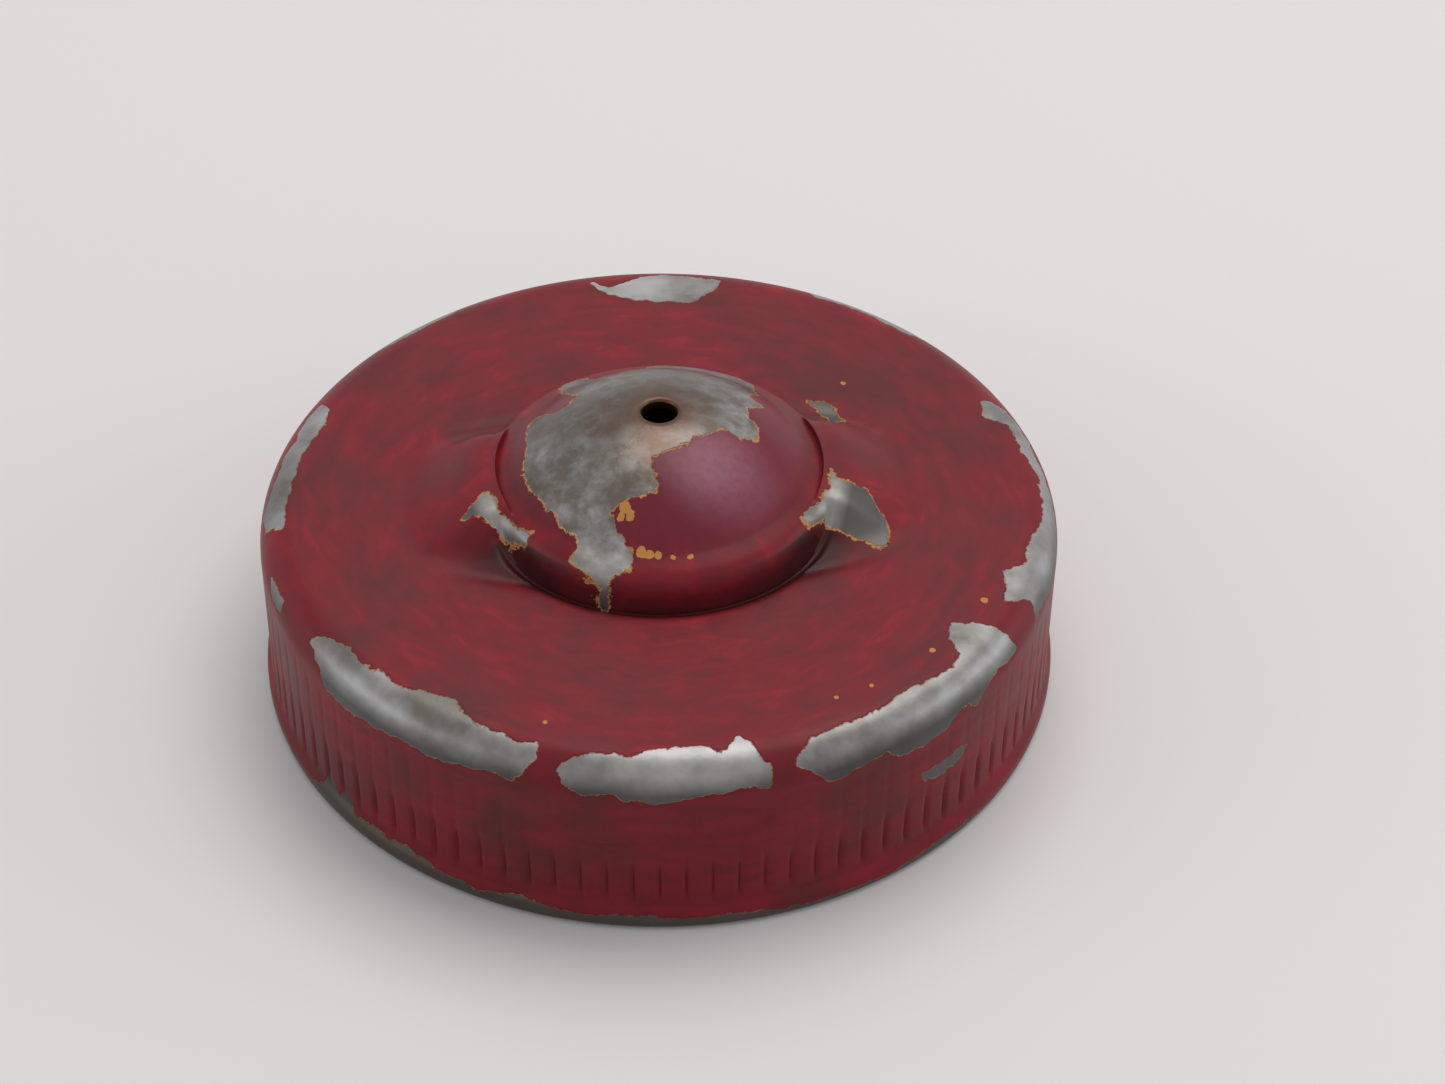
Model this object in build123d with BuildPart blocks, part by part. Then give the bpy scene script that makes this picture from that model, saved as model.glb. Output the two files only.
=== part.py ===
from build123d import *
from math import atan2, cos, sin, sqrt
import os

# A screw-on fuel tank cap: a pressed steel shell with a vented dome between two finger wings,
# a drawn cup with the thread held inside it, and a cork ring that seals on the tank's neck.
# The cap stands on its bottom edge: origin on the axis in that plane, +Z up through the vent
# hole, +X along the wings. Millimetres.

# Shell: skirt, shoulder and panel
sheet = 0.9                  # thickness of the shell's steel
skirt_radius = 32.0          # outside of the straight skirt
panel_height = 16.2          # top panel above the bottom edge
shoulder_radius = 2.85       # outside bend from the panel into the skirt
bead_height = 2.4            # where the bead at the bottom of the skirt begins
bead_proud = 0.4             # how far the bead stands out from the skirt
bead_round = 0.8             # rounding where the bead swells out
hem_lap = 1.5                # how far the turned-in edge reaches inside the skirt
hem_round = 0.8              # outside bend at the cap's bottom edge
edge_round = 0.2             # small rounding of cut and turned edges

# Shell: boss in the middle of the panel
collar_foot_radius = 14.25   # where the collar's wall meets the groove
collar_lean = 1.05           # how far the wall leans in on its way up
ledge_rise = 3.2             # narrow ledge round the dome, above the panel
ledge_width = 1.36           # from the dome's crease to the ledge's corner, before it is rounded
ledge_round = 1.2            # rounding of that corner
dome_height = 5.25           # dome's apex above the ledge
groove_depth = 0.5           # shallow groove round the collar's foot
groove_width = 0.5           # its flat bottom
groove_slope = 0.6           # width of its outer side
groove_round = 0.3           # rounding of the groove's corners
vent_radius = 1.4            # vent hole at the apex

# Shell: finger wings, along +X and -X
wing_reach = 5.6             # how far a wing runs out from the collar's foot
wing_shoulder = 0.6          # how far the ledge carries on level before the wing slopes down
wing_top_round = 3.0         # bend at the top of the slope
wing_end_round = 5.0         # bend into the panel at its end
wing_foot_root = 10.7        # half width of the wing's foot where it leaves the collar
wing_ridge_root = 1.0        # half width of its ridge there
wing_tip = 7.5               # half width of both at the wing's end
wing_margin = 1.0            # how far the trimming outline runs past the wing's end
wing_drop = 1.2              # inner face of a wing below its outer face, straight down

# Shell: knurl on the skirt
knurl_count = 100            # flutes round the skirt
knurl_tool = 0.4             # radius of each flute
knurl_depth = 0.2            # how deep it is cut
knurl_margin = 0.8           # plain band left above and below the flutes

# Threaded liner
liner_sheet = 0.5            # thickness of the liner's steel
liner_gap = 2.0              # radial space between the skirt and the liner
flange_clearance = 0.1       # between the flange's edge and the inside of the skirt
flange_bend = 0.6            # inside bend from the liner's wall into its flange
thread_depth = 1.0           # rolled thread: root to crest
thread_lead = 0.8            # plain wall below and above the thread
thread_run_out = 1.0         # height over which the thread rises from the plain wall
thread_round = 0.3           # rounding of the thread's corners
cup_round = 0.5              # inside bend from the liner's wall into its floor
liner_vent_radius = 1.0      # vent hole in the liner's floor
liner_vent_offset = 8.0      # its distance from the axis

# Gasket
gasket_thickness = 2.4
gasket_width = 6.5
gasket_clearance = 0.3       # between the ring and the liner's wall
gasket_chamfer = 0.5         # worn corners of the ring

# Heights and radii that follow from those
skirt_inside = skirt_radius - sheet
ledge_height = panel_height + ledge_rise
ledge_radius = collar_foot_radius - collar_lean
dome_radius = ledge_radius - ledge_width
dome_sphere = (dome_radius**2 + dome_height**2) / (2 * dome_height)
dome_centre = ledge_height + dome_height - dome_sphere
groove_floor = panel_height - groove_depth
wing_end_radius = collar_foot_radius + wing_reach
liner_top = groove_floor - sheet
liner_outside = skirt_inside - liner_gap
liner_inside = liner_outside - liner_sheet
thread_crest = liner_inside - thread_depth
gasket_top = liner_top - liner_sheet
gasket_bottom = gasket_top - gasket_thickness
flange_bottom = sheet
flange_top = flange_bottom + liner_sheet
flange_radius = skirt_inside - flange_clearance
thread_bottom = flange_top + thread_lead
thread_top = gasket_bottom - thread_lead
gasket_radius = liner_inside - gasket_clearance


def revolved_form(inset):
    """Solid of revolution under the sheet's outer face, or under its inner face at inset = sheet."""
    dome = dome_sphere - inset
    ledge = ledge_height - inset
    crease_radius = sqrt(dome**2 - (ledge - dome_centre) ** 2)
    wall_slant = collar_lean / (ledge_height - groove_floor)
    wall_shift = inset * (sqrt(1 + wall_slant**2) - wall_slant)
    groove_slant = groove_slope / groove_depth
    groove_shift = inset * (sqrt(1 + groove_slant**2) - groove_slant)
    groove_edge = collar_foot_radius + groove_width
    apex = (0, dome_centre + dome)
    crease = (crease_radius, ledge)
    half_angle = atan2(crease_radius, ledge - dome_centre) / 2
    mid_dome = (dome * sin(half_angle), dome_centre + dome * cos(half_angle))
    skirt_foot = (skirt_radius - inset, bead_height)
    with BuildPart() as form:
        with BuildSketch(Plane.XZ):
            with BuildLine():
                ThreePointArc(apex, mid_dome, crease)
                FilletPolyline(
                    crease,
                    (ledge_radius - wall_shift, ledge),
                    (collar_foot_radius - wall_shift, groove_floor - inset),
                    (groove_edge + groove_shift, groove_floor - inset),
                    (groove_edge + groove_slope + groove_shift, panel_height - inset),
                    (skirt_radius - inset, panel_height - inset),
                    skirt_foot,
                    radius=[
                        max(ledge_round - inset, groove_round),
                        groove_round,
                        groove_round,
                        groove_round,
                        shoulder_radius - inset,
                    ],
                )
                Polyline(skirt_foot, (0, bead_height), apex)
            make_face()
        revolve(axis=Axis.Z)
    return form.part


def bow_tie(height, root_half_width):
    """Plan of one wing at a height: a four-sided outline from the collar out past the wing's end."""
    root = sqrt(collar_foot_radius**2 - wing_foot_root**2)
    tip = wing_end_radius + wing_margin
    with BuildSketch(Plane.XY.offset(height)) as outline:
        with BuildLine():
            Polyline(
                (root, -root_half_width),
                (tip, -wing_tip),
                (tip, wing_tip),
                (root, root_half_width),
                close=True,
            )
        make_face()
    return outline.sketch


def wing_form(drop):
    """Both finger wings, lowered by drop: a slope round the collar, trimmed to a bow tie in plan."""
    ledge = ledge_height - drop
    panel = panel_height - drop
    foot = panel - groove_depth
    tip = wing_end_radius + wing_margin
    start = (0, ledge)
    with BuildPart() as slope:
        with BuildSketch(Plane.XZ):
            with BuildLine():
                FilletPolyline(
                    start,
                    (ledge_radius + wing_shoulder, ledge),
                    (wing_end_radius, panel),
                    (tip + wing_margin, panel),
                    radius=[wing_top_round, wing_end_round],
                )
                Polyline((tip + wing_margin, panel), (tip + wing_margin, foot), (0, foot), start)
            make_face()
        revolve(axis=Axis.Z)
    with BuildPart() as wings:
        loft(sections=[bow_tie(panel, wing_foot_root), bow_tie(ledge, wing_ridge_root)], ruled=True)
        extrude(bow_tie(panel, wing_foot_root), amount=-groove_depth)
        mirror(about=Plane.YZ)
        add(slope.part, mode=Mode.INTERSECT)
    return wings.part


# Cap shell: the pressing between its outer and inner faces, then the bead and the turned-in edge
outer_form = revolved_form(0)
inner_form = revolved_form(sheet)
outer_wings = wing_form(0)
inner_wings = wing_form(wing_drop)

with BuildPart() as cap_shell:
    add(outer_form)
    add(outer_wings)
    add(inner_form, mode=Mode.SUBTRACT)
    add(inner_wings, mode=Mode.SUBTRACT)

    # the sheet swells out into the bead, then turns in under the liner's flange
    swell_height = bead_height - 2 * bead_proud
    with BuildSketch(Plane.XZ):
        with BuildLine():
            FilletPolyline(
                (skirt_radius, bead_height),
                (skirt_radius + bead_proud, swell_height),
                (skirt_radius + bead_proud, 0),
                (skirt_inside - hem_lap, 0),
                radius=[bead_round, hem_round],
            )
            FilletPolyline(
                (skirt_inside, bead_height),
                (skirt_inside + bead_proud, swell_height),
                (skirt_inside + bead_proud, sheet),
                (skirt_inside - hem_lap, sheet),
                radius=[bead_round, edge_round],
            )
            Line((skirt_radius, bead_height), (skirt_inside, bead_height))
            Line((skirt_inside - hem_lap, 0), (skirt_inside - hem_lap, sheet))
        make_face()
    revolve(axis=Axis.Z)

    # vent hole through the dome's apex
    with BuildSketch(Plane.XY.offset(ledge_height)):
        Circle(vent_radius)
    extrude(amount=dome_height, mode=Mode.SUBTRACT)

    # knurl: shallow upright flutes between the bead and the shoulder
    knurl_bottom = bead_height + knurl_margin
    knurl_top = panel_height - shoulder_radius - knurl_margin
    with BuildSketch(Plane.XY.offset(knurl_bottom)):
        with PolarLocations(skirt_radius - knurl_depth + knurl_tool, knurl_count):
            Circle(knurl_tool)
    extrude(amount=knurl_top - knurl_bottom, mode=Mode.SUBTRACT)


# Threaded liner: a drawn cup, floor up against the shell, flange held by the turned-in edge
with BuildPart() as threaded_liner:
    with BuildSketch(Plane.XZ):
        with BuildLine():
            FilletPolyline(
                (0, liner_top),
                (liner_outside, liner_top),
                (liner_outside, flange_top),
                (flange_radius, flange_top),
                (flange_radius, flange_bottom),
                (liner_inside, flange_bottom),
                (liner_inside, thread_bottom),
                (thread_crest, thread_bottom + thread_run_out),
                (thread_crest, thread_top - thread_run_out),
                (liner_inside, thread_top),
                (liner_inside, gasket_top),
                (0, gasket_top),
                radius=[
                    cup_round + liner_sheet,
                    flange_bend,
                    edge_round,
                    edge_round,
                    flange_bend + liner_sheet,
                    thread_round,
                    thread_round,
                    thread_round,
                    thread_round,
                    cup_round,
                ],
            )
            Line((0, liner_top), (0, gasket_top))
        make_face()
    revolve(axis=Axis.Z)
    with BuildSketch(Plane.XY.offset(liner_top)):
        with Locations((liner_vent_offset, 0)):
            Circle(liner_vent_radius)
    extrude(amount=-liner_sheet, mode=Mode.SUBTRACT)


# Gasket: flat ring against the liner's floor, inside the plain wall above the thread
with BuildPart() as gasket:
    with BuildSketch(Plane.XY.offset(gasket_bottom)):
        Circle(gasket_radius)
        Circle(gasket_radius - gasket_width, mode=Mode.SUBTRACT)
    extrude(amount=gasket_thickness)
    chamfer(gasket.edges(), length=gasket_chamfer)


cap_shell.part.label = "cap_shell"
threaded_liner.part.label = "threaded_liner"
gasket.part.label = "gasket"

os.makedirs("parts", exist_ok=True)
export_step(cap_shell.part, "parts/cap_shell.step")
export_step(threaded_liner.part, "parts/threaded_liner.step")
export_step(gasket.part, "parts/gasket.step")
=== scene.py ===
import math

import bpy
from mathutils import Matrix, Vector, noise


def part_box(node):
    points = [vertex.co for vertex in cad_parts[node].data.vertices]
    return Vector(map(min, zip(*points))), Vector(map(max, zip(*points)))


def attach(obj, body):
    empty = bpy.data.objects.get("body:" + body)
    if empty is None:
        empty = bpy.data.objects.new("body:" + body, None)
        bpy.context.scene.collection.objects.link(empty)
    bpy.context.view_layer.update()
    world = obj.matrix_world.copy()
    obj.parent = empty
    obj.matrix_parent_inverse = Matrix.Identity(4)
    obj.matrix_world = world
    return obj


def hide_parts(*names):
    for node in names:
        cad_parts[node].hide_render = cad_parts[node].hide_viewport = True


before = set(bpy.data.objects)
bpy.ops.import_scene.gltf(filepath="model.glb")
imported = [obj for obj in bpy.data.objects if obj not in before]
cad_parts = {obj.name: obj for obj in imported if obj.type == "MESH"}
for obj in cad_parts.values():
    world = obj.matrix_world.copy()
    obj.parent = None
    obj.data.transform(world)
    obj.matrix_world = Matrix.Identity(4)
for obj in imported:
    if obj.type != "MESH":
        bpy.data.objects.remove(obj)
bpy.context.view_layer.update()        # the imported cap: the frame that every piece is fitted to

mm = 0.001

# what the shape of the cap hangs on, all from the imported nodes
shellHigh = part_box("cap_shell")[1]
sealLow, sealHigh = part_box("gasket")

shellValues = {            # millimetres unless it says otherwise
    "sheet": 0.9,
    "skirtRadius": 32.0,
    "panelHeight": 16.2,
    "shoulderRadius": 2.85,
    "ventRadius": 1.4,
    "ventLip": 0.25,       # the vent's edge is rolled a little by the punch
    "domeRadius": 11.84,
    "domeHeight": 5.25,
    "ledgeRise": 3.2,
    "ledgeRound": 2.1,
    "creaseBlend": 1.1,    # how softly the dome runs into the ledge
    "collarFoot": 14.25,
    "grooveDepth": 0.4,
    "grooveWidth": 0.45,
    "beadHeight": 2.4,
    "beadProud": 0.39,
    "hemLap": 1.5,
    "topSteps": 400,       # vertices in a ring of the top
    "skirtSteps": 800,     # vertices in a ring of the skirt: eight to a flute
}
wingValues = {
    "start": 13.6,         # where the wing leaves the ledge
    "end": 20.6,           # where it has run out into the panel
    "rootX": 9.4,
    "footRoot": 11.2,      # half widths of foot and ridge at rootX, and at the end
    "footEnd": 8.4,
    "ridgeRoot": 4.3,
    "ridgeEnd": 6.6,
    "hollow": 2.5,         # how hollow the flank is: 1 is a straight slope
    "ridgeSoft": 0.12,     # softness of the ridge, as a share of the flank's width
    "blend": 1.3,          # blend between wing and collar
}
knurlValues = {
    "count": 100,
    "depth": 0.24,
    "low": 2.5,
    "high": 12.9,
}


def hexColour(code, alpha=1.0):    # sRGB hex to linear
    def linear(part):
        value = int(part, 16) / 255
        return value / 12.92 if value <= 0.04045 else ((value + 0.055) / 1.055) ** 2.4
    return (*[linear(code[i:i + 2]) for i in (1, 3, 5)], alpha)


def perMillimetre(size):    # noise scale whose features are this many millimetres across
    return 1000 / size


def smoothStep(value):
    value = min(max(value, 0.0), 1.0)
    return value * value * (3 - 2 * value)


def softMax(a, b, width):
    share = max(width - abs(a - b), 0.0) / width
    return max(a, b) + share * share * width / 4


def signedDistance(x, y, outline):
    # distance to a closed outline, positive inside it
    inside, nearest = False, 1e9
    for i, (bx, by) in enumerate(outline):
        ax, ay = outline[i - 1]
        dx, dy = bx - ax, by - ay
        t = min(max(((x - ax) * dx + (y - ay) * dy) / (dx * dx + dy * dy), 0.0), 1.0)
        nearest = min(nearest, math.hypot(x - ax - t * dx, y - ay - t * dy))
        if (ay > y) != (by > y) and x < ax + (y - ay) / dy * dx:
            inside = not inside
    return nearest if inside else -nearest


# camera, light and floor
viewValues = {
    "lens": 79.72,
    "elevation": 42.234,   # degrees
    "distance": 267.0,     # from the middle of the cap's base
    "turn": -3.5,          # degrees: the wings aren't quite square to the view
    "aim": (5.424, 12.928),
    "roll": 0.774,
}


def setCamera():
    turn = Matrix.Rotation(math.radians(viewValues["turn"]), 4, "Z")
    tilt = math.radians(viewValues["elevation"])
    reach = viewValues["distance"] * mm
    place = turn @ Vector((0, -math.cos(tilt) * reach, math.sin(tilt) * reach))
    aim = turn @ Vector((*[value * mm for value in viewValues["aim"]], 0))
    facing = (aim - place).to_track_quat("-Z", "Y").to_matrix().to_4x4()
    roll = Matrix.Rotation(math.radians(viewValues["roll"]), 4, "Z")
    bpy.ops.object.camera_add()
    camera = bpy.context.object
    camera.data.lens = viewValues["lens"]
    camera.data.sensor_width = 36
    camera.data.clip_start = 0.01
    camera.matrix_world = Matrix.Translation(place) @ facing @ roll
    bpy.context.scene.camera = camera


def addNode(tree, kind, links=None, **settings):
    node = tree.nodes.new(kind)
    for key, value in settings.items():
        setattr(node, key, value)
    for socket, value in (links or {}).items():
        if isinstance(value, bpy.types.NodeSocket):
            tree.links.new(value, node.inputs[socket])
        else:
            node.inputs[socket].default_value = value
    return node


def newMaterial(name):
    material = bpy.data.materials.new(name)
    material.use_nodes = True
    material.node_tree.nodes.clear()
    return material, material.node_tree


def finishMaterial(tree, shader):
    output = addNode(tree, "ShaderNodeOutputMaterial")
    tree.links.new(shader.outputs[0], output.inputs["Surface"])


def areaLight(name, place, aim, size, power, colour):
    bpy.ops.object.light_add(type="AREA", location=place)
    lamp = bpy.context.object
    lamp.name = name
    lamp.data.shape = "RECTANGLE"
    lamp.data.size, lamp.data.size_y = size
    lamp.data.energy = power
    lamp.data.color = hexColour(colour)[:3]
    lamp.rotation_euler = (Vector(aim) - Vector(place)).to_track_quat("-Z", "Y").to_euler()
    return lamp


def setStage():
    bpy.context.scene.view_settings.view_transform = "Standard"
    bpy.ops.mesh.primitive_plane_add(size=3.0, location=(0, 0, 0))
    floor = bpy.context.object
    floor.name = "benchTop"
    material, tree = newMaterial("paleLaminate")    # a plain, slightly warm off-white
    shader = addNode(tree, "ShaderNodeBsdfPrincipled", {
        "Base Color": hexColour("#d6d3d1"), "Roughness": 0.6})
    finishMaterial(tree, shader)
    floor.data.materials.append(material)
    world = bpy.data.worlds.new("softRoom")
    bpy.context.scene.world = world
    world.use_nodes = True
    tree = world.node_tree
    tree.nodes.clear()
    background = addNode(tree, "ShaderNodeBackground", {
        "Color": hexColour("#e9ecf2"), "Strength": 0.64})
    seen = addNode(tree, "ShaderNodeBackground", {"Color": hexColour("#f1efed"), "Strength": 1.0})
    path = addNode(tree, "ShaderNodeLightPath")
    direct = addNode(tree, "ShaderNodeMath", {0: path.outputs["Is Camera Ray"],
                                              1: path.outputs["Is Glossy Ray"]},
                     operation="MAXIMUM")
    either = addNode(tree, "ShaderNodeMath", {0: direct.outputs[0], 1: path.outputs["Is Transmission Ray"]},
                     operation="MAXIMUM")
    mixed = addNode(tree, "ShaderNodeMixShader", {0: either.outputs[0], 1: background.outputs[0],
                                                  2: seen.outputs[0]})
    output = addNode(tree, "ShaderNodeOutputWorld")
    tree.links.new(mixed.outputs[0], output.inputs["Surface"])
    areaLight("overheadPanel", (0.16, 0.24, 0.75), (0, 0, 0), (0.7, 0.5), 3.4, "#fffaf4")
    areaLight("leftPanel", (-0.75, -0.1, 0.28), (0, 0, 0), (0.5, 0.35), 0.9, "#f7f9ff")
    areaLight("rightPanel", (0.75, -0.05, 0.28), (0, 0, 0), (0.5, 0.35), 1.2, "#f7f9ff")


# mesh helpers
def ringPiece(name, steps, profile):
    # a circle, extruded ring by ring along a profile of (radius, height) in millimetres
    bpy.ops.object.select_all(action="DESELECT")
    radius, height = profile[0]
    bpy.ops.mesh.primitive_circle_add(vertices=steps, radius=radius * mm, location=(0, 0, height * mm))
    piece = bpy.context.object
    piece.name = name
    bpy.ops.object.transform_apply(location=True, rotation=True, scale=True)
    bpy.ops.object.mode_set(mode="EDIT")
    bpy.ops.mesh.select_all(action="SELECT")
    for nextRadius, nextHeight in profile[1:]:
        bpy.ops.mesh.extrude_edges_move(
            TRANSFORM_OT_translate={"value": (0, 0, (nextHeight - height) * mm)})
        scale = nextRadius / radius
        bpy.ops.transform.resize(value=(scale, scale, 1), center_override=(0, 0, 0))
        radius, height = nextRadius, nextHeight
    bpy.ops.object.mode_set(mode="OBJECT")
    return piece


def steps(first, last, count):    # evenly spaced values, the first one left out
    return [first + (last - first) * (i + 1) / count for i in range(count)]


def closePiece(piece, angle):
    bpy.ops.object.select_all(action="DESELECT")
    piece.select_set(True)
    bpy.context.view_layer.objects.active = piece
    bpy.ops.object.mode_set(mode="EDIT")
    bpy.ops.mesh.select_all(action="SELECT")
    bpy.ops.mesh.remove_doubles(threshold=0.002 * mm)
    bpy.ops.mesh.normals_make_consistent(inside=False)
    bpy.ops.mesh.select_all(action="DESELECT")
    bpy.ops.object.mode_set(mode="OBJECT")
    bpy.ops.object.shade_smooth_by_angle(angle=math.radians(angle))


# cap shell
def collarHeight(radius):
    # dome, soft crease, rolled ledge and collar wall, as a height above the panel
    v = shellValues
    sphere = (v["domeRadius"] ** 2 + v["domeHeight"] ** 2) / (2 * v["domeHeight"])
    ledge = ledgeHeight(radius)
    if radius > v["domeRadius"] + 1.2:
        return ledge
    dome = v["ledgeRise"] + v["domeHeight"] - sphere + math.sqrt(sphere ** 2 - radius ** 2)
    return softMax(dome, ledge, v["creaseBlend"])


def ledgeHeight(radius):
    v = shellValues
    rollCentre = v["collarFoot"] - 0.25 - v["ledgeRound"]
    if radius <= rollCentre:
        return v["ledgeRise"]
    drop = v["ledgeRise"] - v["ledgeRound"]
    across = (radius - rollCentre) / v["ledgeRound"]
    if across < 0.985:
        return drop + v["ledgeRound"] * math.sqrt(1 - across * across)
    wall = (radius - rollCentre - 0.985 * v["ledgeRound"]) / 0.28
    return (drop + 0.17 * v["ledgeRound"]) * (1 - min(wall, 1.0))


def flankShare(x, y):
    # 1 on top of a wing, 0 at the foot of its flank, and the distance out from that foot
    w = wingValues
    along = (abs(x) - w["rootX"]) / (w["end"] - w["rootX"])
    foot = w["footRoot"] + (w["footEnd"] - w["footRoot"]) * along
    ridge = w["ridgeRoot"] + (w["ridgeEnd"] - w["ridgeRoot"]) * along
    width = max(foot - ridge, 0.3)
    share = (abs(y) - ridge) / width
    soft = w["ridgeSoft"]
    share = (share + math.sqrt(share * share + soft * soft)) / 2
    return max(1 - share, 0.0) ** w["hollow"], abs(y) - foot


def pressedHeight(x, y):
    # height of the shell's outer face above the panel, with dome, collar, wings and groove
    v, w = shellValues, wingValues
    radius = math.hypot(x, y)
    height = collarHeight(radius)
    # the blend begins all at once here, which leaves a step of up to 0.5 mm beside the ledge
    if radius < w["start"] - 0.6:
        return height
    reach = (radius - w["start"]) / (w["end"] - w["start"])
    share, outside = flankShare(x, y)
    wing = v["ledgeRise"] * (1 - smoothStep(reach)) * share
    if wing > 0.001:
        height = softMax(height, wing, w["blend"] * min(wing, 1.0))
    fade = 1 - smoothStep((abs(x) - 11) / 8)
    around = math.exp(-((radius - v["collarFoot"] - 0.15) / v["grooveWidth"]) ** 2)
    around *= 1 - smoothStep((outside + 4) / -1)
    beside = math.exp(-((outside + 0.7) / 0.8) ** 2) * smoothStep((radius - v["collarFoot"]) / 0.8) * 0.7
    groove = max(around, beside)
    return height - v["grooveDepth"] * fade * groove


def flute(angle, height):
    # how far the knurl cuts in at an angle, in millimetres
    k = knurlValues
    phase = angle / math.tau * k["count"]
    near = abs(phase - round(phase))
    cut = max(1 - near / 0.15, 0.0)
    ends = smoothStep((height - k["low"]) / 0.7) * smoothStep((k["high"] - height) / 1.2)
    fill = 0.62 + 0.25 * math.cos(angle + 1.45)    # the brush has filled the front's upper part most
    low = 1 - fill * smoothStep((height - 5.0) / 3.0)
    return k["depth"] * cut * ends * low


def buildShell():
    v = shellValues
    sheet, radius, panel = v["sheet"], v["skirtRadius"], v["panelHeight"]
    bend, inside = v["shoulderRadius"], v["skirtRadius"] - v["sheet"]
    top = shellHigh.z / mm - 0.02
    seamOuter, seamInner = 28.2, 27.4
    # inner face out from the panel to the vent, through it, and over the outer face
    profile = [(r, panel - sheet) for r in (seamInner, 24, 21.5)]
    profile += [(r, panel - sheet) for r in steps(21.5, 2.2, 34)]
    profile += [(v["ventRadius"], top - sheet), (v["ventRadius"], top - v["ventLip"])]
    profile += [(v["ventRadius"] + 0.08, top - 0.07), (v["ventRadius"] + 0.22, top)]
    rings = steps(v["ventRadius"] + 0.22, v["domeRadius"] - 0.12, 24) + steps(v["domeRadius"] - 0.12, 12.2,
                                                                              4)
    rings += steps(12.2, 14.4, 18) + steps(14.4, 15.9, 9) + steps(15.9, 20.6, 15) + steps(20.6, seamOuter,
                                                                                          12)
    profile += [(r, panel) for r in rings]
    crown = ringPiece("capShell", v["topSteps"], profile)
    innerCount = 3 + 34
    for index, vertex in enumerate(crown.data.vertices):
        ring = index // v["topSteps"]
        x, y = vertex.co.x / mm, vertex.co.y / mm
        height = pressedHeight(x, y)
        if ring < innerCount:
            vertex.co.z = (panel + min(height, v["ledgeRise"] + v["domeHeight"]) - sheet * 1.15) * mm
        elif ring >= innerCount + 4:
            vertex.co.z = min(panel + height, top + 0.02) * mm
    # shoulder, skirt, bead, turned-in edge and the inner wall back up
    skirt = [(28.7, panel)] + [(radius - bend, panel)]
    skirt += [(radius - bend + bend * math.sin(a), panel - bend + bend * math.cos(a))
              for a in steps(0, math.pi / 2, 14)]
    skirt += [(radius, z) for z in steps(panel - bend, v["beadHeight"], 20)]
    proud = radius + v["beadProud"]
    skirt += [(radius + 0.12, 2.1), (proud - 0.06, 1.7), (proud, 1.35), (proud, 0.75), (proud - 0.1, 0.35)]
    skirt += [(proud - 0.38, 0.08), (proud - 0.8, 0.0), (inside - v["hemLap"] + 0.15, 0.0)]
    skirt += [(inside - v["hemLap"], 0.15), (inside - v["hemLap"], sheet)]
    skirt += [(inside, sheet), (inside, 4), (inside, panel - bend)]
    skirt += [(inside - 0.6, panel - sheet - 0.6), (inside - 1.95, panel - sheet),
              (seamInner + 0.5, panel - sheet)]
    band = ringPiece("skirtBand", v["skirtSteps"], skirt)
    for vertex in band.data.vertices:
        height = vertex.co.z / mm
        out = math.hypot(vertex.co.x, vertex.co.y) / mm
        if out > radius - 0.4 and v["beadHeight"] - 0.1 < height < panel - bend + 0.1:
            cut = flute(math.atan2(vertex.co.y, vertex.co.x), height)
            vertex.co.x *= (out - cut) / out
            vertex.co.y *= (out - cut) / out
    bpy.ops.object.select_all(action="DESELECT")
    band.select_set(True)
    crown.select_set(True)
    bpy.context.view_layer.objects.active = crown
    bpy.ops.object.join()
    for level in (panel, panel - sheet):
        bridgeRings(crown, level)
    closePiece(crown, 40)
    return crown


def bridgeRings(piece, level):
    # closes the gap between the coarse rings of the top and the fine ones of the skirt
    bpy.ops.object.mode_set(mode="EDIT")
    bpy.ops.mesh.select_all(action="DESELECT")
    bpy.ops.mesh.select_mode(type="EDGE")
    bpy.ops.object.mode_set(mode="OBJECT")
    mesh = piece.data
    uses = [0] * len(mesh.edges)
    index = {tuple(sorted(edge.vertices)): edge.index for edge in mesh.edges}
    for polygon in mesh.polygons:
        for key in polygon.edge_keys:
            uses[index[tuple(sorted(key))]] += 1
    for edge in mesh.edges:
        ends = [mesh.vertices[i].co.z / mm for i in edge.vertices]
        edge.select = uses[edge.index] == 1 and all(abs(z - level) < 0.3 for z in ends)
    bpy.ops.object.mode_set(mode="EDIT")
    bpy.ops.mesh.bridge_edge_loops()
    bpy.ops.object.mode_set(mode="OBJECT")


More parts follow.
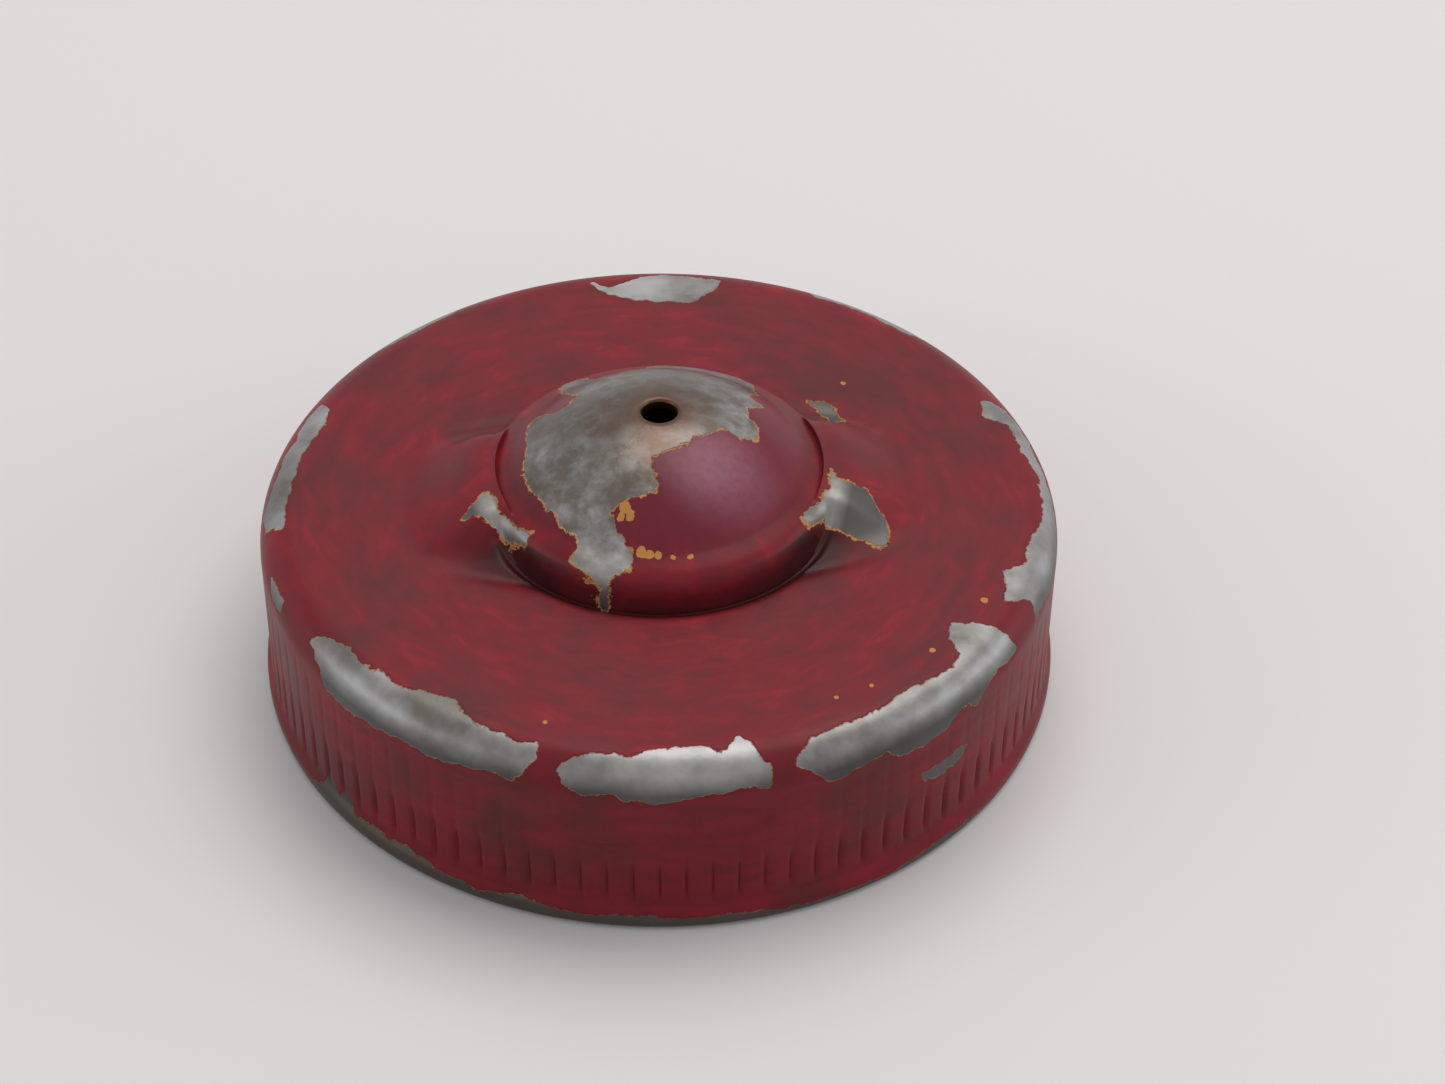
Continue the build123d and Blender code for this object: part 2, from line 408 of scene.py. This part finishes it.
# where the paint has come off: outlines, worked out in a separate script and rounded,
# of (angle in degrees, millimetres along the face),
# measured from the flat panel's edge, round the shoulder and down the skirt
rimChips = {
    "frontLeft": [(-151.7, 2.3), (-150.3, 1.4), (-146, 0.6), (-141.9, 0.9), (-138.2, 0.3), (-133.6, 0.7),
                  (-130, -0.3), (-125.6, -0.5), (-121.9, 0.4), (-116.7, 0.8), (-113.7, 1.1), (-110.9, 0.8),
                  (-110.4, 2.1), (-111.7, 3.2), (-113.7, 4.1), (-118.1, 4.0), (-123.4, 4.5), (-130.8, 4.4),
                  (-136.2, 4.8), (-140.7, 5.0), (-146, 4.8), (-147.7, 3.5)],
    "front": [(-107.5, 2.4), (-105.7, 1.4), (-102, 0.8), (-97.7, 0.9), (-93.6, 0.2), (-86.6, 0),
              (-85.7, 0.8),
              (-84, 0.9), (-82.1, -0.4), (-80.3, 0.3), (-80.1, 1.4), (-78.3, 2.3), (-78.8, 3.9), (-82.3,
                                                                                                  3.7),
              (-88.3, 4.0), (-94.2, 4.7), (-98.1, 4.6), (-100.1, 4.0), (-103.4, 4.4), (-106.6, 3.6)],
    "frontRight": [(-75.5, 2.7), (-71.8, 1.1), (-65.6, 0.8), (-60.6, 0.9), (-56.1, 0.3), (-46.9, 0.9),
                   (-43.6, 0.7), (-42.2, -0.9), (-38.8, -2.1), (-36.2, 0.4), (-35, 1.4), (-34.5, 3.3),
                   (-35.8, 3.7), (-41.8, 3.8), (-44.8, 5.1), (-48.5, 3.8), (-50.3, 5.1), (-53.5, 5.5),
                   (-58.8, 5.5), (-61.3, 4.3), (-64.5, 4.2), (-67.6, 4.9), (-70.3, 5.0), (-72.6, 3.7)],
    "right": [(-29.6, 0.5), (-23.2, -0.7), (-20.7, 0.7), (-14.9, 0.6), (-8.8, 1.6), (1, 1.6), (7, 1),
              (13.7, 1),
              (16.1, -0.6), (20.8, 0.1), (17.2, 2.2), (8, 2.3), (0, 2.9), (-9.5, 3.8), (-17, 4.5), (-25.4,
                                                                                                    3.7),
              (-28.3, 5.0), (-26.4, 2.2)],
    "back": [(98, 0.1), (94.8, -0.9), (91.4, 0.1), (85.5, 0.9), (76.1, 0.3), (77, -1.5), (80.6, -3.3),
             (87.3, -3.3), (92.3, -2.6), (95.1, -2.1), (97, -1.1)],
    "left": [(152.4, 1.6), (154.7, 0.2), (158.5, -0.4), (168, 0.3), (177.8, 0.5), (184.3, 0.8),
             (182.7, 2.9),
             (178.8, 3.2), (173.6, 2.3), (162.3, 1.7)],
    "leftSmall": [(-167.6, 2.9), (-161.5, 2.4), (-160.6, 3.5), (-164.7, 3.8)],
    "scrape": [(-55.5, 8.4), (-51.5, 8.6), (-48, 8.3), (-45.2, 8.5), (-47, 9.5), (-51, 10), (-54.5, 9.5)],
    "backLeft": [(118, 2.6), (122, 1.2), (129, 0.9), (136, 1.5), (139, 2.9), (131, 4.3), (124, 3.9)],
    "backRight": [(38, 2.2), (43, 0.9), (52, 1.1), (59, 0.8), (64, 2.4), (60, 4.4), (49, 3.8), (42, 4.6)],
}
# how high the skirt's foot has worn bare: (angle, millimetres above the bench)
footWear = [(-180, 0.9), (-165, 1.2), (-152, 1.0), (-149, 2.0), (-147, 3.9), (-145, 2.2), (-143, 3.6),
            (-141, 1.9),
            (-132, 2.1), (-125, 1.7), (-119, 1.2), (-113, 2.0), (-107, 1.3), (-96, 1.6), (-91, 1.1), (-83,
                                                                                                      1.4),
            (-77, 0.9), (-60, 0.6), (-52, 1.3), (-40, 0.5), (-10, 0.9), (20, 0.5), (45, 1.6), (52,
                                                                                               0.7),
                                                                                               (90, 1.1),
            (110, 0.4), (128, 1.9), (140, 0.8), (180, 0.9)]
# bare places on the boss: outlines in plan, in millimetres, worked out in the same way
bossChips = {
    "dome": [(-10.3, 3.5), (-10, 5.3), (-8.6, 3.8), (-7.2, 3.5), (-6.2, 4.8), (-7, 7), (-7.6, 9.3),
             (-7.2, 11.2),
             (-5.3, 11.2), (-3.8, 8.2), (-1.6, 8.9), (0, 12.6), (3, 13.5), (6.3, 11.9), (8.2, 9.5), (8.3,
                                                                                                     6.4),
             (7.5, 5), (8.4, 3.5), (7.2, 2), (7.1, 0.6), (7.8, -0.6), (7.4, -1.9), (6.2, -2.4), (4.8, -1.5),
             (1.9, -3.6), (-1, -4.8), (-1, -6), (-0.5, -7.1), (-0.9, -7.7), (-3.8, -7.9), (-4.4, -8.6),
             (-4.1, -9.4), (-2.9, -11), (-3, -12.6), (-4.4, -12.7), (-5, -13.6), (-5.9, -12.5), (-7.4, -11),
             (-7, -9.5), (-9.4, -5.9), (-10.6, -3), (-10.9, -1)],
    "leftEar": [(-13.7, -3), (-13.3, -3.4), (-13.1, -4.6), (-11.8, -6.5), (-10.6, -7.8), (-10.8, -8.3),
                (-11.8, -7.4), (-12.9, -5.9), (-13.8, -5.2), (-15.7, -4.6), (-15.3, -3.9), (-14.5, -3.2)],
    "rightEar": [(13.5, -1.9), (13.9, -3), (15, -3), (16.2, -3.1), (16.9, -4.2), (17.5, -5.7), (17.8, -7.5),
                 (17.1, -7.9), (15.6, -7.5), (13.9, -6.9), (12.5, -6.3), (10.9, -7.7), (10.5, -7.3),
                 (12.3, -5.1), (13.2, -4)],
    "backEar": [(12.9, 11.2), (14.2, 11), (15.4, 9.6), (15.7, 8.2), (14.8, 7.8), (13.9, 10)],
}
# spots where only the red is gone and the primer shows: x, y, radius in millimetres
primerSpots = [(-3.2, -8.4, 0.45), (-2.8, -9.0, 0.35), (-3.5, -8.9, 0.3), (-2.1, -11.4, 0.4),
               (-1.5, -11.6, 0.35),
               (-0.8, -11.7, 0.3), (0.3, -11.9, 0.22), (1.6, -11.9, 0.22), (-6.6, -7.6, 0.3), (-7.0, -8.1,
                                                                                               0.3),
               (19.4, -20.0, 0.22), (24.2, -14.6, 0.28), (14.4, -23.6, 0.18), (11.6, -24.7, 0.14),
               (-10.1, -25.9, 0.18), (15.4, 6.8, 0.2), (14.9, 6.2, 0.16), (16.2, 13.3, 0.2)]


def bareDistance(x, y, z):
    # millimetres inside the nearest bare place, negative where the paint holds
    v = shellValues
    radius = math.hypot(x, y)
    if z < 13.8 and radius < v["skirtRadius"] - 0.6 or z < 0.05:
        return 2.0
    if radius < 21:
        best = -3.0
        for outline in bossChips.values():
            best = max(best, signedDistance(x, y, outline))
        return best
    angle = math.degrees(math.atan2(y, x))
    edge = v["skirtRadius"] - v["shoulderRadius"]
    turn = v["panelHeight"] - v["shoulderRadius"]
    if z < turn:
        along = v["shoulderRadius"] * math.pi / 2 + turn - z
    elif radius < edge:
        along = radius - edge
    else:
        along = v["shoulderRadius"] * math.atan2(radius - edge, z - turn)
    best = -3.0
    if -5 < along < 12:
        scale = math.radians(1) * 31
        for outline in rimChips.values():
            for around in (angle, angle + 360):
                if outline[0][0] - 40 < around < outline[0][0] + 70:
                    best = max(best, signedDistance(around * scale, along,
                                                    [(a * scale, s) for a, s in outline]))
    if z < 6:
        for (a, low), (b, high) in zip(footWear, footWear[1:]):
            if a <= angle <= b:
                best = max(best, low + (high - low) * (angle - a) / (b - a) - z)
    return best


def shellAttributes(piece):
    mesh = piece.data
    bare = mesh.attributes.new("bareDistance", "FLOAT", "POINT")
    darkeningAndShade = mesh.attributes.new("darkeningAndShade", "FLOAT", "POINT")
    v = shellValues
    for vertex in mesh.vertices:
        x, y, z = vertex.co / mm
        radius = math.hypot(x, y)
        inner = vertex.normal.z < -0.1 and radius < 30.5 and z > 14
        bare.data[vertex.index].value = 2.0 if inner else bareDistance(x, y, z)
        # darker in the groove at the collar's foot, in the crease round the dome and round the vent; below,
        # painted shade in the wings' hollows
        darkness = math.exp(-((radius - v["collarFoot"] - 0.3) / 0.55) ** 2) if z < 17.2 else 0
        darkness += math.exp(-((radius - v["domeRadius"]) / 0.6) ** 2) * 0.25
        if radius > 13.6:
            _, outside = flankShare(x, y)
            # the wings' hollows are darkened in place of deeper shadow, and more at the front
            hollow = math.exp(-((outside + 2.1) / 1.8) ** 2) * (1 - smoothStep((abs(x) - 12.5) / 6))
            darkness += hollow * (1 if y < 0 else 0.6)
        darkness += math.exp(-((radius - v["ventRadius"]) / 0.5) ** 2) * 0.9
        darkeningAndShade.data[vertex.index].value = min(darkness, 1.0)


def mathNode(tree, operation, *values, **settings):
    return addNode(tree, "ShaderNodeMath", dict(enumerate(values)), operation=operation,
                   **settings).outputs[0]


def mixColour(tree, factor, first, second):
    return addNode(tree, "ShaderNodeMix", {0: factor, 6: first, 7: second}, data_type="RGBA").outputs[2]


paintValues = {
    "red": "#7c1723",          # settled brush coat
    "deepRed": "#63171f",      # where the coat is thick or stained
    "brightRed": "#981d2c",    # thin, rubbed streaks
    "stain": "#43211f",
    "domeTintAndSheen": "#642031",      # the dome's paint is a little more purple, partly its own tint and partly painted sheen for the dome's purple gloss
    "primer": "#b07a3c",
    "brightTin": "#999a9a",
    "dullTin": "#686562",
    "brownTin": "#574b41",
}


def paintedSteel():
    # brush-painted sheet steel, satin enamel over orange primer over old tin plate: the eye
    # sees a streaky red with a soft gloss, and jagged chips with a thin raised edge
    p = paintValues
    material, tree = newMaterial("brushedEnamelOnTinnedSteel")
    place = addNode(tree, "ShaderNodeTexCoord").outputs["Object"]
    parts = addNode(tree, "ShaderNodeSeparateXYZ", {0: place})
    flat = addNode(tree, "ShaderNodeCombineXYZ", {0: parts.outputs[0], 1: parts.outputs[1]}).outputs[0]
    radius = addNode(tree, "ShaderNodeVectorMath", {0: flat}, operation="LENGTH").outputs["Value"]
    around = addNode(tree, "ShaderNodeVectorMath", {0: flat}, operation="NORMALIZE").outputs["Vector"]
    aroundParts = addNode(tree, "ShaderNodeSeparateXYZ", {0: around})
    depth = mathNode(tree, "ADD", mathNode(tree, "MULTIPLY", parts.outputs[2], 650.0),
                     mathNode(tree, "MULTIPLY", radius, 650.0))
    # strokes run round the cap: about 7 mm long and 0.6 mm wide
    strokePlace = addNode(tree, "ShaderNodeCombineXYZ", {
        0: mathNode(tree, "MULTIPLY", aroundParts.outputs[0], 6.0),
        1: mathNode(tree, "MULTIPLY", aroundParts.outputs[1], 6.0), 2: depth}).outputs[0]
    strokes = addNode(tree, "ShaderNodeTexNoise", {
        "Vector": strokePlace, "Scale": 1.0, "Detail": 4.0, "Roughness": 0.6, "Distortion": 0.6}).outputs[0]
    clouds = addNode(tree, "ShaderNodeTexNoise", {
        "Vector": place, "Scale": perMillimetre(9), "Detail": 5.0, "Roughness": 0.6}).outputs[0]
    grain = addNode(tree, "ShaderNodeTexNoise", {
        "Vector": place, "Scale": perMillimetre(0.7), "Detail": 3.0, "Roughness": 0.6}).outputs[0]
    jag = addNode(tree, "ShaderNodeTexNoise", {
        "Vector": place, "Scale": perMillimetre(1.6), "Detail": 5.0, "Roughness": 0.62}).outputs[0]
    bare = addNode(tree, "ShaderNodeAttribute", attribute_name="bareDistance").outputs["Fac"]
    darkeningAndShade = addNode(tree, "ShaderNodeAttribute", attribute_name="darkeningAndShade").outputs["Fac"]

    edge = mathNode(tree, "ADD", bare, mathNode(tree, "MULTIPLY", mathNode(tree, "SUBTRACT", jag, 0.5),
                                                1.5))
    bareMask = addNode(tree, "ShaderNodeMapRange", {0: edge, 1: -0.03, 2: 0.03}).outputs[0]
    inBoss = addNode(tree, "ShaderNodeMapRange", {0: radius, 1: 0.019, 2: 0.024, 3: 0.19,
                                                  4: 0.05}).outputs[0]
    rag = addNode(tree, "ShaderNodeMapRange", {0: grain, 1: 0.35, 2: 0.62}).outputs[0]
    fringe = mathNode(tree, "ADD", edge, mathNode(tree, "MULTIPLY", inBoss, rag))
    primerMask = addNode(tree, "ShaderNodeMapRange", {0: fringe, 1: -0.02, 2: 0.04}).outputs[0]
    ragged = addNode(tree, "ShaderNodeMapRange", {0: grain, 3: -0.0003, 4: 0.0003}).outputs[0]
    for x, y, size in primerSpots:
        far = addNode(tree, "ShaderNodeVectorMath", {0: flat, 1: (x * mm, y * mm, 0)}, operation="DISTANCE")
        spot = mathNode(tree, "LESS_THAN", mathNode(tree, "ADD", far.outputs["Value"], ragged), size * mm)
        primerMask = mathNode(tree, "MAXIMUM", primerMask, spot)

    strokeMix = addNode(tree, "ShaderNodeMapRange", {0: strokes, 1: 0.32, 2: 0.7}).outputs[0]
    cloudMix = addNode(tree, "ShaderNodeMapRange", {0: clouds, 1: 0.38, 2: 0.66}).outputs[0]
    red = mixColour(tree, strokeMix, hexColour(p["deepRed"]), hexColour(p["red"]))
    vivid = mathNode(tree, "MULTIPLY", addNode(tree, "ShaderNodeMapRange", {
        0: strokes, 1: 0.56, 2: 0.8}).outputs[0], cloudMix)
    onTop = addNode(tree, "ShaderNodeMapRange", {0: parts.outputs[2], 1: 0.012, 2: 0.0155, 3: 0.3,
                                                 4: 1.0}).outputs[0]
    vivid = mathNode(tree, "MULTIPLY", vivid, mathNode(tree, "MULTIPLY", onTop, 0.75))
    red = mixColour(tree, vivid, red, hexColour(p["brightRed"]))
    stained = addNode(tree, "ShaderNodeMapRange", {0: clouds, 1: 0.52, 2: 0.3, 4: 0.6}).outputs[0]
    red = mixColour(tree, stained, red, hexColour(p["stain"]))
    onDome = addNode(tree, "ShaderNodeMapRange", {0: radius, 1: 0.0105, 2: 0.0125, 3: 0.75,
                                                  4: 0.0}).outputs[0]
    # more purple over the dome: partly the paint's tint, partly painted sheen
    red = mixColour(tree, onDome, red, hexColour(p["domeTintAndSheen"]))
    # painted sheen: a paler patch in the paint's own colour stands in for the sheen on the dome's near side
    near = addNode(tree, "ShaderNodeVectorMath", {0: flat, 1: (0.0042, -0.0052, 0)},
                   operation="DISTANCE").outputs["Value"]
    paintedSheen = mathNode(tree, "MULTIPLY", addNode(tree, "ShaderNodeMapRange",
                                              {0: near, 1: 0.001, 2: 0.0058, 3: 0.62, 4: 0.0},
                    interpolation_type="SMOOTHSTEP").outputs[0],
                    addNode(tree, "ShaderNodeMapRange", {0: grain, 1: 0.2, 2: 0.6, 3: 0.6}).outputs[0])
    red = mixColour(tree, paintedSheen, red, hexColour("#93606f"))
    # darker red in the groove, crease and round the vent, and painted shade in the wings' hollows
    red = mixColour(tree, mathNode(tree, "MULTIPLY", darkeningAndShade, 0.85), red, hexColour("#260b0e"))

    tarnish = addNode(tree, "ShaderNodeMapRange", {0: clouds, 1: 0.36, 2: 0.62}).outputs[0]
    tin = mixColour(tree, tarnish, hexColour(p["dullTin"]), hexColour(p["brightTin"]))
    browned = addNode(tree, "ShaderNodeMapRange", {0: radius, 1: 0.011, 2: 0.016, 3: 0.75,
                                                   4: 0.0}).outputs[0]
    tin = mixColour(tree, mathNode(tree, "MULTIPLY", browned, addNode(tree, "ShaderNodeMapRange", {
        0: jag, 1: 0.3, 2: 0.6}).outputs[0]), tin, hexColour(p["brownTin"]))
    rusty = addNode(tree, "ShaderNodeMapRange", {0: radius, 1: 0.0016, 2: 0.0062, 3: 0.8,
                                                 4: 0.0}).outputs[0]
    tin = mixColour(tree, rusty, tin, hexColour("#5a4338"))
    foot = addNode(tree, "ShaderNodeMapRange", {0: parts.outputs[2], 1: 0.003, 2: 0.0055, 3: 0.8,
                                                4: 0.0}).outputs[0]
    tin = mixColour(tree, foot, tin, hexColour("#8d7f69"))
    # the same darkening and painted shade on the bare metal
    tin = mixColour(tree, mathNode(tree, "MULTIPLY", darkeningAndShade, 0.6), tin, hexColour("#4b3122"))
    # darker metal on the chips' lower edge and the ears stands in for the shade that they reflect
    lower = addNode(tree, "ShaderNodeMapRange", {0: parts.outputs[2], 1: 0.0138, 2: 0.0152, 3: 0.75,
                                                 4: 0.0}).outputs[0]
    ears = addNode(tree, "ShaderNodeMapRange", {0: radius, 1: 0.0145, 2: 0.0155, 3: 0.0, 4: 0.8}).outputs[0]
    ears = mathNode(tree, "MULTIPLY", ears, mathNode(tree, "LESS_THAN", radius, 0.021))
    tin = mixColour(tree, mathNode(tree, "MAXIMUM", lower, ears), tin, hexColour("#3f3d3c"))

    colour = mixColour(tree, primerMask, red, hexColour(p["primer"]))
    colour = mixColour(tree, bareMask, colour, tin)
    metallic = mathNode(tree, "MULTIPLY", bareMask, 0.9)
    rough = addNode(tree, "ShaderNodeMapRange", {0: clouds, 1: 0.3, 2: 0.7, 3: 0.34, 4: 0.5}).outputs[0]
    dome = addNode(tree, "ShaderNodeMapRange", {0: radius, 1: 0.0115, 2: 0.0135, 3: 0.78,
                                                4: 1.0}).outputs[0]
    rough = mathNode(tree, "MULTIPLY", rough, dome)

    film = mathNode(tree, "SUBTRACT", 1.0, addNode(tree, "ShaderNodeMapRange",
                                                   {0: edge, 1: -0.12, 2: 0.06}).outputs[0])
    relief = mathNode(tree, "ADD", mathNode(tree, "MULTIPLY", film, 1.0),
                      mathNode(tree, "MULTIPLY", mathNode(tree, "ADD", strokes, grain), 0.16))
    bump = addNode(tree, "ShaderNodeBump", {"Strength": 0.8, "Distance": 0.00012, "Height": relief})
    shader = addNode(tree, "ShaderNodeBsdfPrincipled", {
        "Base Color": colour, "Metallic": metallic, "Roughness": rough, "Normal": bump.outputs[0],
        "Specular IOR Level": 0.18})
    finishMaterial(tree, shader)
    return material


def platedSteel():
    # tin plate that has rubbed and greyed in use: soft grey metal with cloudy dull places
    material, tree = newMaterial("wornTinPlate")
    place = addNode(tree, "ShaderNodeTexCoord").outputs["Object"]
    clouds = addNode(tree, "ShaderNodeTexNoise", {
        "Vector": place, "Scale": perMillimetre(6), "Detail": 6.0, "Roughness": 0.62}).outputs[0]
    specks = addNode(tree, "ShaderNodeTexNoise", {
        "Vector": place, "Scale": perMillimetre(0.8), "Detail": 3.0}).outputs[0]
    dull = addNode(tree, "ShaderNodeMapRange", {0: clouds, 1: 0.38, 2: 0.64}).outputs[0]
    colour = mixColour(tree, dull, hexColour("#8b867c"), hexColour("#b9b6af"))
    rust = addNode(tree, "ShaderNodeMapRange", {0: mathNode(tree, "MULTIPLY", specks, clouds), 1: 0.3,
                                                2: 0.38}).outputs[0]
    colour = mixColour(tree, mathNode(tree, "MULTIPLY", rust, 0.7), colour, hexColour("#7a4a2a"))
    rough = addNode(tree, "ShaderNodeMapRange", {0: clouds, 1: 0.3, 2: 0.7, 3: 0.48, 4: 0.3}).outputs[0]
    bump = addNode(tree, "ShaderNodeBump", {"Strength": 0.4, "Distance": 0.00005, "Height": specks})
    finishMaterial(tree, addNode(tree, "ShaderNodeBsdfPrincipled", {
        "Base Color": colour, "Metallic": mathNode(tree, "SUBTRACT", 0.95,
                                                   mathNode(tree, "MULTIPLY", rust, 0.7)),
        "Roughness": rough, "Normal": bump.outputs[0]}))
    return material


def pressedCork():
    # bonded cork sheet: warm tan crumbs 1 to 2 mm across in darker glue, dead matt
    material, tree = newMaterial("bondedCork")
    place = addNode(tree, "ShaderNodeTexCoord").outputs["Object"]
    crumbs = addNode(tree, "ShaderNodeTexVoronoi", {"Vector": place, "Scale": perMillimetre(1.3)})
    seams = addNode(tree, "ShaderNodeTexVoronoi", {
        "Vector": place, "Scale": perMillimetre(1.3)}, feature="DISTANCE_TO_EDGE").outputs["Distance"]
    tone = addNode(tree, "ShaderNodeSeparateColor", {0: crumbs.outputs["Color"]}).outputs[0]
    pores = addNode(tree, "ShaderNodeTexNoise", {"Vector": place, "Scale": perMillimetre(0.35),
                                                 "Detail": 3.0}).outputs[0]
    colour = mixColour(tree, tone, hexColour("#9a7449"), hexColour("#b48c5c"))
    glue = addNode(tree, "ShaderNodeMapRange", {0: seams, 1: 0.0, 2: 0.09, 3: 0.75, 4: 0.0}).outputs[0]
    colour = mixColour(tree, glue, colour, hexColour("#5a3d24"))
    colour = mixColour(tree, addNode(tree, "ShaderNodeMapRange", {0: pores, 1: 0.6, 2: 0.72}).outputs[0],
                       colour, hexColour("#4a3120"))
    relief = mathNode(tree, "ADD", mathNode(tree, "MINIMUM", seams, 0.12),
                      mathNode(tree, "MULTIPLY", pores, 0.1))
    bump = addNode(tree, "ShaderNodeBump", {"Strength": 0.9, "Distance": 0.0009, "Height": relief})
    finishMaterial(tree, addNode(tree, "ShaderNodeBsdfPrincipled", {
        "Base Color": colour, "Roughness": 0.9, "Normal": bump.outputs[0], "Specular IOR Level": 0.2}))
    return material


# threaded liner
linerValues = {
    "sheet": 0.5,
    "outside": 29.1,
    "crest": 27.6,         # the rolled thread's inner radius
    "threadLow": 2.2,
    "threadHigh": 11.1,
    "pitch": 3.0,
    "floorTop": 14.8,
    "cupRound": 1.0,
    "flange": 31.0,
    "ventRadius": 1.0,
    "ventOffset": 8.0,
    "steps": 216,
}


def rollThread(vertex, v):
    # the sheet is rolled inwards along a rising line that runs out at both ends
    x, y, z = vertex.co / mm
    if not v["threadLow"] < z < v["threadHigh"]:
        return
    phase = (z / v["pitch"] - math.atan2(y, x) / math.tau) % 1
    ridge = (0.5 + 0.5 * math.cos(math.tau * (phase - 0.5))) ** 1.4
    ends = smoothStep((z - v["threadLow"]) / 1.6) * smoothStep((v["threadHigh"] - z) / 1.6)
    shift = (v["outside"] - v["sheet"] - v["crest"]) * ridge * ends
    radius = math.hypot(x, y)
    vertex.co.x *= (radius - shift) / radius
    vertex.co.y *= (radius - shift) / radius


def buildLiner():
    v = linerValues
    out, sheet = v["outside"], v["sheet"]
    inner = out - sheet
    rows = steps(v["threadHigh"], v["threadLow"], 34)
    top, bend = v["floorTop"], v["cupRound"]
    profile = [(0.4, top), (4, top), (12, top), (20, top), (26.5, top), (out - bend, top)]
    profile += [(out - bend + bend * math.sin(a), top - bend + bend * math.cos(a))
                for a in steps(0, math.pi / 2, 4)]
    profile += [(out, v["threadHigh"])] + [(out, z) for z in rows]
    profile += [(out + 0.05, 1.75), (out + 0.25, 1.5), (out + 0.7, 1.4), (v["flange"] - 0.1, 1.4)]
    profile += [(v["flange"], 1.3), (v["flange"], 1.0), (v["flange"] - 0.1, 0.9), (out + 0.5, 0.9)]
    profile += [(inner + 0.55, 1.0), (inner + 0.2, 1.25), (inner + 0.03, 1.7)]
    profile += [(inner, z) for z in [v["threadLow"]] + list(reversed(rows[:-1])) + [v["threadHigh"]]]
    small = bend - sheet
    profile += [(inner, top - bend)]
    profile += [(inner - small + small * math.cos(a), top - bend + small * math.sin(a))
                for a in steps(0, math.pi / 2, 3)]
    profile += [(26.5, top - sheet), (20, top - sheet), (12, top - sheet), (4, top - sheet),
                (0.4, top - sheet)]
    cup = ringPiece("threadedCup", v["steps"], profile)
    for vertex in cup.data.vertices:
        rollThread(vertex, v)
    bpy.ops.object.mode_set(mode="EDIT")
    bpy.ops.mesh.select_all(action="DESELECT")
    bpy.ops.object.mode_set(mode="OBJECT")
    for edge in cup.data.edges:
        edge.select = all(math.hypot(*cup.data.vertices[i].co.xy) < 0.5 * mm for i in edge.vertices)
    bpy.ops.object.mode_set(mode="EDIT")
    bpy.ops.mesh.fill_holes(sides=0)
    bpy.ops.object.mode_set(mode="OBJECT")
    closePiece(cup, 35)
    bpy.ops.object.select_all(action="DESELECT")
    bpy.ops.mesh.primitive_cylinder_add(vertices=32, radius=v["ventRadius"] * mm, depth=4 * mm,
                                        location=(v["ventOffset"] * mm, 0, (top - sheet / 2) * mm))
    punch = bpy.context.object
    bpy.ops.object.select_all(action="DESELECT")
    cup.select_set(True)
    bpy.context.view_layer.objects.active = cup
    cut = cup.modifiers.new("vent", "BOOLEAN")
    cut.object, cut.operation, cut.solver = punch, "DIFFERENCE", "EXACT"
    bpy.ops.object.modifier_apply(modifier="vent")
    bpy.data.objects.remove(punch, do_unlink=True)
    bpy.ops.object.shade_smooth_by_angle(angle=math.radians(35))
    return cup


# cork seal
sealValues = {
    "width": 6.5,
    "round": 0.45,
    "neckMark": 25.4,      # radius of the groove that the neck has pressed into the cork
    "markWidth": 1.1,
    "markDepth": 0.35,
    "steps": 180,
}


def buildSeal():
    v = sealValues
    outer, low, high = sealHigh.x / mm, sealLow.z / mm, sealHigh.z / mm
    inner, r = outer - v["width"], v["round"]
    profile = [(inner, low + r), (inner + 0.13, low + 0.13), (inner + r, low)]
    profile += [(x, low) for x in steps(inner + r, outer - r, 16)]
    profile += [(outer - 0.13, low + 0.13), (outer, low + r), (outer, high - r),
                (outer - 0.13, high - 0.13)]
    profile += [(outer - r, high), (inner + r, high), (inner + 0.13, high - 0.13), (inner, high - r),
                (inner, low + r)]
    ring = ringPiece("corkSeal", v["steps"], profile)
    for vertex in ring.data.vertices:
        x, y, z = vertex.co / mm
        radius = math.hypot(x, y)
        if z < low + 0.1:
            mark = math.exp(-((radius - v["neckMark"]) / v["markWidth"]) ** 4) * v["markDepth"]
            lumps = 0.06 + 0.06 * noise.noise(Vector((x, y, 3.0)) * 0.5)
            vertex.co.z += (mark + lumps) * mm
        elif low + 0.3 < z < high - 0.3:
            worn = 0.08 + 0.08 * noise.noise(Vector((x, y, z)) * 0.35)
            shift = worn if radius < (inner + outer) / 2 else -worn
            vertex.co.x *= (radius + shift) / radius
            vertex.co.y *= (radius + shift) / radius
    closePiece(ring, 50)
    return ring


def place(piece, node, slotName, material):
    piece.data.materials.clear()
    piece.data.materials.append(material)
    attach(piece, "root")
    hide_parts(node)
    print(piece.name, "has", len(piece.data.polygons), "faces")


print("stage: camera, light and floor")
setCamera()
setStage()
print("stage: cap shell")
capShell = buildShell()
shellAttributes(capShell)
place(capShell, "cap_shell", "painted_shell", paintedSteel())
print("stage: threaded liner")
place(buildLiner(), "threaded_liner", "plated_liner", platedSteel())
print("stage: cork seal")
place(buildSeal(), "gasket", "cork", pressedCork())

print("stage: done")
